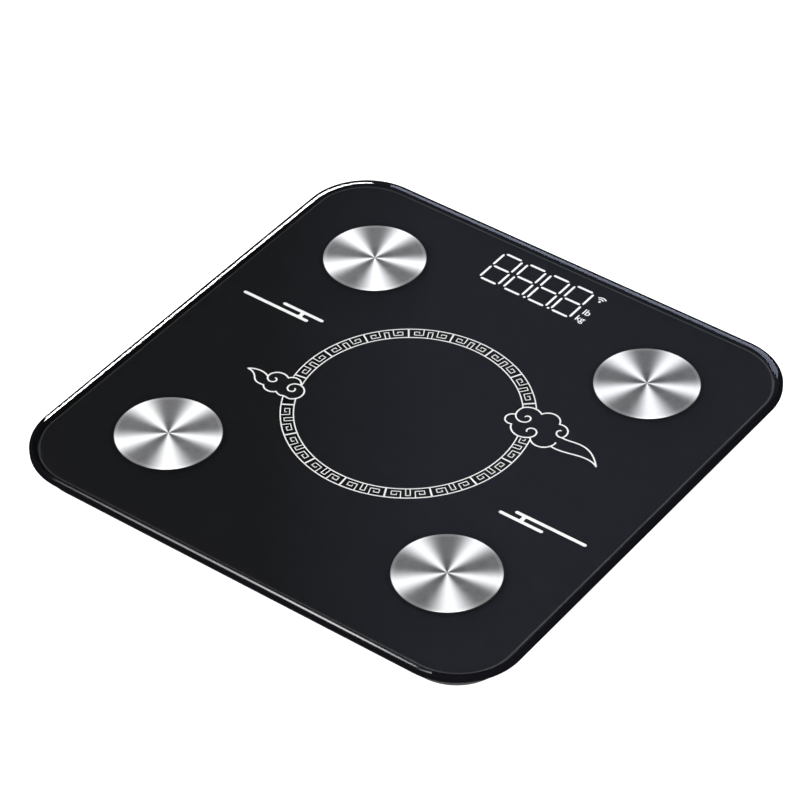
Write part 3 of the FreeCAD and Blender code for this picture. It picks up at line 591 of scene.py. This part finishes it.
# Places along a stroke of the key pattern: the distance along the ring, then the radius.
HOOK = ((7.4, RING_OUTER - 0.3), (7.4, 57.4), (2.9, 57.4), (2.9, 59.8), (5.4, 59.8), (5.4, 58.9))
ARCH = ((9.75, RING_INNER + 0.3), (9.75, 60.2), (11.95, 60.2), (11.95, RING_INNER + 0.3))


def ring_line(bm, radius):
    """One of the ring's two lines, in the stretches that the clouds leave."""
    for start, end in CLOUD_SPANS[radius]:
        sector(bm, radius - RING_LINE / 2, radius + RING_LINE / 2, radians(start), radians(end),
               INK_LOW, INK_HIGH)


def fret_run(bm, origin, flip, places, clip=0.0):
    """A key-pattern stroke inside the ring, from (distance along, radius) places."""
    half = FRET_LINE / 2
    for (s0, r0), (s1, r1) in zip(places, places[1:]):
        low = max(min(s0, s1) - half, clip)
        high = max(s0, s1) + half
        if high <= clip:
            continue
        inner = min(r0, r1) - half
        outer = max(r0, r1) + half
        a0 = origin - flip * low / RING_MIDDLE
        a1 = origin - flip * high / RING_MIDDLE
        sector(bm, inner, outer, a0, a1, INK_LOW, INK_HIGH, FRET_STEP)


def fret(bm, index):
    """One repeat of the key pattern: two hooks that face an arch."""
    start = FRET_START - index * FRET_PITCH
    end = start - FRET_PITCH
    fret_run(bm, start, 1, HOOK, clip=CUT_REACH if index == CUT_FRET else 0.0)
    fret_run(bm, start, 1, ARCH)
    fret_run(bm, end, -1, HOOK)


def ring_ground():
    """The deep black band that the ring's pattern is printed over."""
    bm = bmesh.new()
    for start, end in GROUND_SPANS:
        sector(bm, RING_INNER, RING_OUTER, radians(start), radians(end),
               GROUND_LOW, GROUND_HIGH)
    bmesh.ops.translate(bm, vec=RING_SHIFT, verts=bm.verts[:])
    made = piece("ring_ground", bm, [BORDER_BLACK])


def ring_pattern():
    """The ring round the middle: two lines with a key pattern between them."""
    bm = bmesh.new()
    ring_line(bm, RING_OUTER)
    ring_line(bm, RING_INNER)
    bar_half = FRET_BAR / 2 / RING_MIDDLE
    for index in range(FRET_COUNT):
        if index != CUT_FRET:
            middle = FRET_START - index * FRET_PITCH
            sector(bm, RING_INNER, RING_OUTER, middle - bar_half, middle + bar_half,
                   INK_LOW, INK_HIGH)
        if index not in HIDDEN_FRETS:
            fret(bm, index)
    bmesh.ops.translate(bm, vec=RING_SHIFT, verts=bm.verts[:])
    made = piece("ring_pattern", bm, [WHITE_INK])


def arc_through(a, b, c, count=14):
    """Places along the arc from a to c that passes through b."""
    ax, ay = a
    bx, by = b
    cx, cy = c
    d = 2 * (ax * (by - cy) + bx * (cy - ay) + cx * (ay - by))
    aa = ax * ax + ay * ay
    bb = bx * bx + by * by
    cc = cx * cx + cy * cy
    ux = (aa * (by - cy) + bb * (cy - ay) + cc * (ay - by)) / d
    uy = (aa * (cx - bx) + bb * (ax - cx) + cc * (bx - ax)) / d
    radius = hypot(ax - ux, ay - uy)
    first = atan2(ay - uy, ax - ux)
    through = atan2(by - uy, bx - ux)
    last = atan2(cy - uy, cx - ux)
    sweep = (last - first) % (2 * pi)
    if (through - first) % (2 * pi) > sweep:
        sweep -= 2 * pi
    angles = [first + sweep * i / count for i in range(count + 1)]
    return [(ux + radius * cos(t), uy + radius * sin(t)) for t in angles]


def scroll(centre, start, turns, end_radius, count=44):
    """Places along a spiral that curls from a start place in towards a centre."""
    dx = start[0] - centre[0]
    dy = start[1] - centre[1]
    first = atan2(dy, dx)
    radius = hypot(dx, dy)
    places = []
    for i in range(count + 1):
        part = i / count
        angle = first + 2 * pi * turns * part
        reach = radius * (end_radius / radius) ** part
        places.append((centre[0] + reach * cos(angle), centre[1] + reach * sin(angle)))
    return places


def tail(a, b, c, d, count=18):
    """Places along a curve from a to d that leaves towards b and arrives from c."""
    places = []
    for i in range(count + 1):
        t = i / count
        u = 1 - t
        weights = (u ** 3, 3 * u * u * t, 3 * u * t * t, t ** 3)
        places.append(tuple(sum(w * p[k] for w, p in zip(weights, (a, b, c, d)))
                            for k in (0, 1)))
    return places


STROKE = 0.77
STROKE_STEP = 0.001 * MM
CAP_STEPS = 6


def ribbon(bm, places, width, z0, z1):
    """Adds a flat, round-ended pen stroke along places in millimetres."""
    points = [Vector(place) for place in places]
    half = width / 2

    def corner(place):
        return bm.verts.new((*(place * MM), z0))

    left = []
    right = []
    for i, point in enumerate(points):
        ahead = points[min(i + 1, len(points) - 1)]
        behind = points[max(i - 1, 0)]
        along = (ahead - behind).normalized()
        side = Vector((-along.y, along.x)) * half
        left.append(corner(point + side))
        right.append(corner(point - side))
    faces = [bm.faces.new((right[i], right[i + 1], left[i + 1], left[i]))
             for i in range(len(points) - 1)]
    for middle, behind, first, last in ((points[-1], points[-2], right[-1], left[-1]),
                                        (points[0], points[1], left[0], right[0])):
        ahead = middle - behind
        heading = atan2(ahead.y, ahead.x) - pi / 2
        turns = [heading + pi * i / CAP_STEPS for i in range(1, CAP_STEPS)]
        arc = [corner(middle + Vector((cos(turn), sin(turn))) * half) for turn in turns]
        faces.append(bm.faces.new([first, *arc, last]))
    raise_faces(bm, faces, z1 - z0)


def drawn_strokes(name, strokes, shift):
    """A piece of pen strokes from lists of places, each a hair above the last where they cross."""
    bm = bmesh.new()
    for i, places in enumerate(strokes):
        ribbon(bm, places, STROKE, INK_LOW, INK_HIGH + i * STROKE_STEP)
    bmesh.ops.translate(bm, vec=shift, verts=bm.verts[:])
    made = piece(name, bm, [WHITE_INK])


def large_cloud():
    """The cloud that crosses the ring at the right, with its tail towards the right edge."""
    tip = (95.2, 20.2)
    strokes = [
        arc_through((42.8, 34.9), (48.3, 37.4), (52.7, 36.0)),
        arc_through((52.7, 36.0), (57.6, 39.5), (63.9, 35.0)),
        arc_through((63.9, 35.0), (69.9, 33.4), (70.4, 27.6)),
        scroll((48.3, 29.6), (42.8, 34.9), 1.08, 0.95),
        scroll((67.9, 30.6), (70.4, 27.6), -0.50, 1.3, 16),
        tail((70.4, 27.6), (77.0, 26.9), (84.0, 33.5), tip),
        tail(tip, (87.0, 25.4), (77.5, 17.6), (69.4, 19.5)),
        arc_through((69.4, 19.5), (70.0, 21.2), (70.0, 22.8), 6),
        arc_through((69.4, 19.5), (64.3, 15.8), (57.8, 19.0)),
        scroll((55.3, 22.5), (57.8, 19.0), 0.75, 1.6, 26),
        arc_through((57.8, 19.0), (51.2, 16.5), (44.9, 21.7)),
        arc_through((44.9, 21.7), (39.6, 24.8), (42.3, 28.5)),
    ]
    drawn_strokes("large_cloud", strokes, LARGE_CLOUD_SHIFT)


def small_cloud():
    """The smaller cloud on the ring's left, with its tail towards the left edge."""
    tip = (-82.4, -19.7)
    strokes = [
        tail(tip, (-79.0, -17.0), (-74.5, -16.8), (-71.5, -18.5)),
        tail(tip, (-74.5, -20.0), (-77.0, -26.8), (-68.7, -25.1)),
        arc_through((-68.7, -25.1), (-64.2, -27.3), (-60.7, -25.4)),
        arc_through((-60.7, -25.4), (-59.0, -26.2), (-57.1, -26.4), 8),
        scroll((-67.2, -18.6), (-61.9, -13.9), 1.13, 1.0),
        arc_through((-61.9, -13.9), (-58.4, -11.7), (-53.7, -14.8)),
        scroll((-55.2, -19.2), (-53.7, -14.8), 0.95, 1.1, 36),
        arc_through((-53.7, -14.8), (-48.6, -19.8), (-49.9, -24.2)),
        tail((-57.1, -26.4), (-54.5, -24.6), (-53.0, -27.6), (-49.9, -24.2)),
    ]
    drawn_strokes("small_cloud", strokes, SMALL_CLOUD_SHIFT)


DASH_WIDTH = 1.8
LONG_DASH = ((-120.1, 25.2), (-81.6, 25.2))
SHORT_DASH = ((-98.4, 29.5), (-75.2, 29.5))
LINK_X = -86.4
LINK_LOW = 25.2 + DASH_WIDTH / 2 - 0.05
LINK_HIGH = 29.5 - DASH_WIDTH / 2 + 0.05
LINK_WIDTH = 2.1
LINK_FLARE = 0.7
FLARE_STEPS = 4


def flared_link(bm):
    """The short link between two bars, flared where it meets them."""
    turns = [pi / 2 * i / FLARE_STEPS for i in range(FLARE_STEPS + 1)]
    outline = []
    for side, low, high in ((1, LINK_LOW, LINK_HIGH), (-1, LINK_HIGH, LINK_LOW)):
        for turn in turns:
            outline.append((LINK_X + side * (LINK_WIDTH / 2 + LINK_FLARE * (1 - sin(turn))),
                            low + side * LINK_FLARE * (1 - cos(turn))))
        for turn in turns:
            outline.append((LINK_X + side * (LINK_WIDTH / 2 + LINK_FLARE * (1 - cos(turn))),
                            high - side * LINK_FLARE * (1 - sin(turn))))
    slab(bm, outline)


def dash_mark(name, turn, shift):
    """A long bar and a short bar joined by a link, drawn for the left side and turned in place."""
    bm = bmesh.new()
    stadium(bm, *LONG_DASH, DASH_WIDTH)
    stadium(bm, *SHORT_DASH, DASH_WIDTH)
    flared_link(bm)
    bmesh.ops.rotate(bm, cent=(0, 0, 0), matrix=Matrix.Rotation(turn, 3, "Z"), verts=bm.verts[:])
    bmesh.ops.translate(bm, vec=DASH_SHIFT + Vector((*shift, 0)) * MM, verts=bm.verts[:])
    made = piece(name, bm, [WHITE_INK])


# ---- display -------------------------------------------------------------------------------------
DIGIT_COUNT = 4
DIGIT_LEFT = -33.7
DIGIT_MIDDLE_Y = 115.5
DIGIT_HEIGHT = 24.1
DIGIT_WIDTH = 12.4
DIGIT_PITCH = 14.5
DIGIT_BAR = 1.35
DIGIT_POST = 1.18
BAR_INSET = 1.6
POST_INSET = 0.85
BAR_POINT = 0.6
DIGIT_POINTS = (1, 2)
POINT_SIZE = 1.35
POINT_BEFORE = 0.72
POINT_RISE = 0.75
WORD_WEIGHT = 0.05 * MM
WIRELESS_PLACE = (27.2, 123.1)
WIRELESS_DOT = 1.3
WIRELESS_ARCS = (1.9, 3.3)
WIRELESS_LINE = 0.72


def digit(bm, left):
    """Seven lit bars with blunt points at their ends."""
    right = left + DIGIT_WIDTH
    half = DIGIT_POST / 2
    low = DIGIT_MIDDLE_Y - DIGIT_HEIGHT / 2 + DIGIT_BAR / 2
    high = DIGIT_MIDDLE_Y + DIGIT_HEIGHT / 2 - DIGIT_BAR / 2
    for y in (low, DIGIT_MIDDLE_Y, high):
        bar(bm, (left + BAR_INSET, y), (right - BAR_INSET, y), DIGIT_BAR, BAR_POINT)
    for x in (left + half, right - half):
        for y0, y1 in ((low, DIGIT_MIDDLE_Y), (DIGIT_MIDDLE_Y, high)):
            bar(bm, (x, y0 + POST_INSET), (x, y1 - POST_INSET), DIGIT_POST, BAR_POINT)


def display_digits():
    """Four digits, with a point after the second and the third."""
    bm = bmesh.new()
    for i in range(DIGIT_COUNT):
        digit(bm, DIGIT_LEFT + i * DIGIT_PITCH)
    y = DIGIT_MIDDLE_Y - DIGIT_HEIGHT / 2 + POINT_RISE
    for i in DIGIT_POINTS:
        x = DIGIT_LEFT + (i + 1) * DIGIT_PITCH - POINT_BEFORE
        stadium(bm, (x - 0.02, y), (x + 0.02, y), POINT_SIZE)
    made = piece("display_digits", bm, [LIT_SEGMENT])


def unit_word(name, word, x, y, size):
    """A unit's letters, set flat under the glass."""
    data = bpy.data.curves.new(name, "FONT")
    data.body = word
    data.size = size * MM
    data.extrude = (INK_HIGH - INK_LOW) / 2
    data.resolution_u = 4
    data.offset = WORD_WEIGHT
    text = bpy.data.objects.new(name, data)
    mesh = bpy.data.meshes.new_from_object(text)
    bm = bmesh.new()
    bm.from_mesh(mesh)
    bpy.data.objects.remove(text)
    bpy.data.meshes.remove(mesh)
    bmesh.ops.remove_doubles(bm, verts=bm.verts[:], dist=1e-7)
    xs = [vert.co.x for vert in bm.verts]
    ys = [vert.co.y for vert in bm.verts]
    shift = Vector((x * MM - (min(xs) + max(xs)) / 2,
                    y * MM - (min(ys) + max(ys)) / 2,
                    (INK_LOW + INK_HIGH) / 2))
    bmesh.ops.translate(bm, vec=shift, verts=bm.verts[:])
    made = piece(name, bm, [LIT_SEGMENT])


def link_mark():
    """A plain wireless mark: a dot under two arcs."""
    bm = bmesh.new()
    x, y = WIRELESS_PLACE
    stadium(bm, (x - 0.01, y), (x + 0.01, y), WIRELESS_DOT)
    for radius in WIRELESS_ARCS:
        before = set(bm.verts)
        sector(bm, radius - WIRELESS_LINE / 2, radius + WIRELESS_LINE / 2,
               radians(45), radians(135), INK_LOW, INK_HIGH, radians(9))
        verts = [vert for vert in bm.verts if vert not in before]
        bmesh.ops.translate(bm, vec=(x * MM, y * MM, 0), verts=verts)
    made = piece("link_mark", bm, [LIT_SEGMENT])


# ---- studio --------------------------------------------------------------------------------------
SURROUND_COLOUR = (0.75, 0.85, 1.0, 1.0)
SURROUND_STRENGTH = 0.06
FLOOR_REACH = 12.0
WHITE = (1, 1, 1)
# Name, direction from the platform, distance, width, height, watts and colour.
LAMPS = (
    ("overhead_lamp", (0.35, -0.45, 1.0), 2.2, 2.4, 2.4, 90, WHITE),
    ("front_lamp", (-0.458, -0.207, 0.864), 2.2, 0.24, 0.40, 2.4, WHITE),
    ("front_accent", (-0.406, -0.207, 0.890), 2.2, 0.24, 0.19, 1.5, WHITE),
    ("left_strip", (-0.727, 0.625, 0.284), 2.2, 0.95, 0.30, 18, WHITE),
    ("rear_strip", (-0.299, 0.884, 0.358), 2.4, 1.17, 0.93, 7, (0.70, 0.76, 1.0)),
)


def softbox(name, direction, distance, width, height, power, tint):
    """A soft rectangular lamp that faces the platform from a direction."""
    data = bpy.data.lights.new(name, "AREA")
    data.shape = "RECTANGLE"
    data.size = width
    data.size_y = height
    data.energy = power
    data.color = tint
    lamp = bpy.data.objects.new(name, data)
    towards = Vector(direction).normalized()
    facing = towards.to_track_quat("Z", "Y")
    lamp.matrix_world = Matrix.LocRotScale(towards * distance, facing, None)
    bpy.context.scene.collection.objects.link(lamp)


def studio():
    """A pale floor, a dim surround and soft lamps."""
    scene = bpy.context.scene
    scene.view_settings.view_transform = "Standard"
    world = bpy.data.worlds.new("surround")
    world.use_nodes = True
    background = world.node_tree.nodes["Background"]
    background.inputs["Color"].default_value = SURROUND_COLOUR
    background.inputs["Strength"].default_value = SURROUND_STRENGTH
    scene.world = world
    for lamp in LAMPS:
        softbox(*lamp)
    bm = bmesh.new()
    bmesh.ops.create_grid(bm, x_segments=1, y_segments=1, size=FLOOR_REACH)
    mesh = bpy.data.meshes.new("studio_floor")
    bm.to_mesh(mesh)
    bm.free()
    mesh.materials.append(studio_floor())
    floor = bpy.data.objects.new("studio_floor", mesh)
    scene.collection.objects.link(floor)


# ---- finishes of the CAD nodes -------------------------------------------------------------------
# Each row: material, dark tone, light tone, what differs from the usual finish, nodes.
PLASTICS = (
    ("base_plastic", (0.005, 0.005, 0.006), (0.010, 0.010, 0.012), {"rough": 0.6, "shine": 0.1},
     ["base_shell"]),
    ("door_plastic", (0.016, 0.016, 0.017), (0.029, 0.029, 0.031), {}, ["battery_door"]),
    ("foot_plastic", (0.020, 0.020, 0.021), (0.034, 0.034, 0.036), {}, every("foot_cup")),
    ("bracket_plastic", (0.040, 0.040, 0.042), (0.062, 0.062, 0.065), {}, every("cell_bracket")),
    ("socket_plastic", (0.55, 0.53, 0.46), (0.66, 0.64, 0.57), {}, ["board_connectors"]),
    ("light_block", (0.72, 0.72, 0.72), (0.82, 0.82, 0.82), {}, ["display_housing"]),
    ("milky_film", (0.78, 0.80, 0.82), (0.86, 0.87, 0.88), {"rough": 0.35},
     ["display_diffuser"]),
    ("chip_black", (0.018, 0.018, 0.019), (0.03, 0.03, 0.031), {"grain_size": 0.3 * MM},
     ["main_chip", "unit_switch", "unit_switch_stem"]),
    ("sealing_coat", (0.62, 0.61, 0.56), (0.74, 0.73, 0.69),
     {"grain_size": 0.8 * MM, "rough": 0.35}, ["strain_gauges"]),
    ("flat_cable", (0.66, 0.66, 0.64), (0.76, 0.76, 0.74),
     {"grain_size": 0.7 * MM, "rough": 0.4}, ["display_ribbon"]),
)
RUBBERS = (
    ("foot_rubber", (0.075, 0.075, 0.078), (0.125, 0.125, 0.128), {}, every("foot_pad")),
    ("button_rubber", (0.15, 0.15, 0.155), (0.22, 0.22, 0.225), {}, ["unit_button"]),
    ("black_glue", (0.006, 0.006, 0.006), (0.012, 0.012, 0.012), {}, ["disc_adhesive"]),
    ("foam_tape", (0.03, 0.03, 0.03), (0.06, 0.06, 0.06), {}, ["platform_tape", "bracket_tape"]),
)
METALS = (
    ("cell_steel", (0.42, 0.43, 0.46), (0.66, 0.67, 0.70), {}, every("load_cell")),
    ("screw_steel", (0.40, 0.40, 0.41), (0.62, 0.62, 0.63), {},
     ["electrode_nuts", "bracket_screws", "board_screws", "display_screws"]),
    ("contact_nickel", (0.50, 0.48, 0.43), (0.72, 0.71, 0.67), {},
     ["ring_terminals", "contact_springs", "contact_plates"]),
    ("shield_can", (0.58, 0.58, 0.55), (0.78, 0.78, 0.76), {}, ["wireless_module"]),
    ("capacitor_sleeve", (0.030, 0.035, 0.10), (0.06, 0.07, 0.20),
     {"rough": 0.3, "metallic": 0.0}, ["board_capacitors"]),
)
WIRES = (
    ("red_wire", (0.40, 0.02, 0.02), (0.52, 0.04, 0.035), {},
     every("electrode_wire") + ["battery_leads"]),
    ("grey_cable", (0.24, 0.24, 0.25), (0.33, 0.33, 0.34), {}, every("cell_cable")),
)


def paint(material, *nodes):
    """Gives CAD nodes a material."""
    for node in nodes:
        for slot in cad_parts[node].material_slots:
            slot.material = material


def finish_cad_nodes():
    """Every carried-over node's finish."""
    for disc in every("electrode_disc"):
        low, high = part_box(disc)
        centre = ((low.x + high.x) / 2, (low.y + high.y) / 2, high.z)
        # Each disc's finish carries a painted sheen centred on that disc.
        paint(turned_steel_painted_sheen(disc.replace("electrode_disc", "turned_steel_painted_sheen"), centre), disc)
    paint(BLACK_INK, "printed_backing")
    # The smoked film's second tone is painted light, lighter and bluer towards the rear right.
    paint(printed_ink("smoked_film", (0.004, 0.004, 0.004), (0.007, 0.007, 0.008)),
          "display_window")
    for make, rows in ((moulded_plastic, PLASTICS), (soft_rubber, RUBBERS),
                       (plated_metal, METALS), (insulated_wire, WIRES)):
        for name, dark, light, settings, nodes in rows:
            paint(make(name, dark, light, **settings), *nodes)
    paint(circuit_board(), "main_board", "display_board")
    paint(battery_sleeve(), "battery_front", "battery_rear")


# ---- build ---------------------------------------------------------------------------------------
studio_camera()
studio()

CLEAR_GLASS = clear_glass()
# Each printed ink's second tone is painted light: the same ink lighter and bluer towards the rear
# right.
BLACK_INK = printed_ink("black_ink", (0.0054, 0.0054, 0.0057), (0.0100, 0.0105, 0.0138))
WHITE_INK = white_ink()
LIT_SEGMENT = lit_segment()
BORDER_BLACK = printed_ink("border_black", (0.0005, 0.0005, 0.0006), (0.0062, 0.0067, 0.0088))
BORDER_GREY = printed_ink("border_grey", (0.0240, 0.0230, 0.0220), (0.0420, 0.0430, 0.0450))
POLISHED_EDGE = polished_edge()
BLACKENED_EDGE = blackened_edge()

glass_platform()
ring_ground()
ring_pattern()
large_cloud()
small_cloud()
dash_mark("left_dashes", 0.0, (0.0, 0.0))
dash_mark("right_dashes", pi, (2.4, -2.63))
display_digits()
unit_word("unit_pounds", "lb", 27.1, 112.4, 6.0)
unit_word("unit_kilograms", "kg", 27.1, 106.0, 5.8)
link_mark()
finish_cad_nodes()
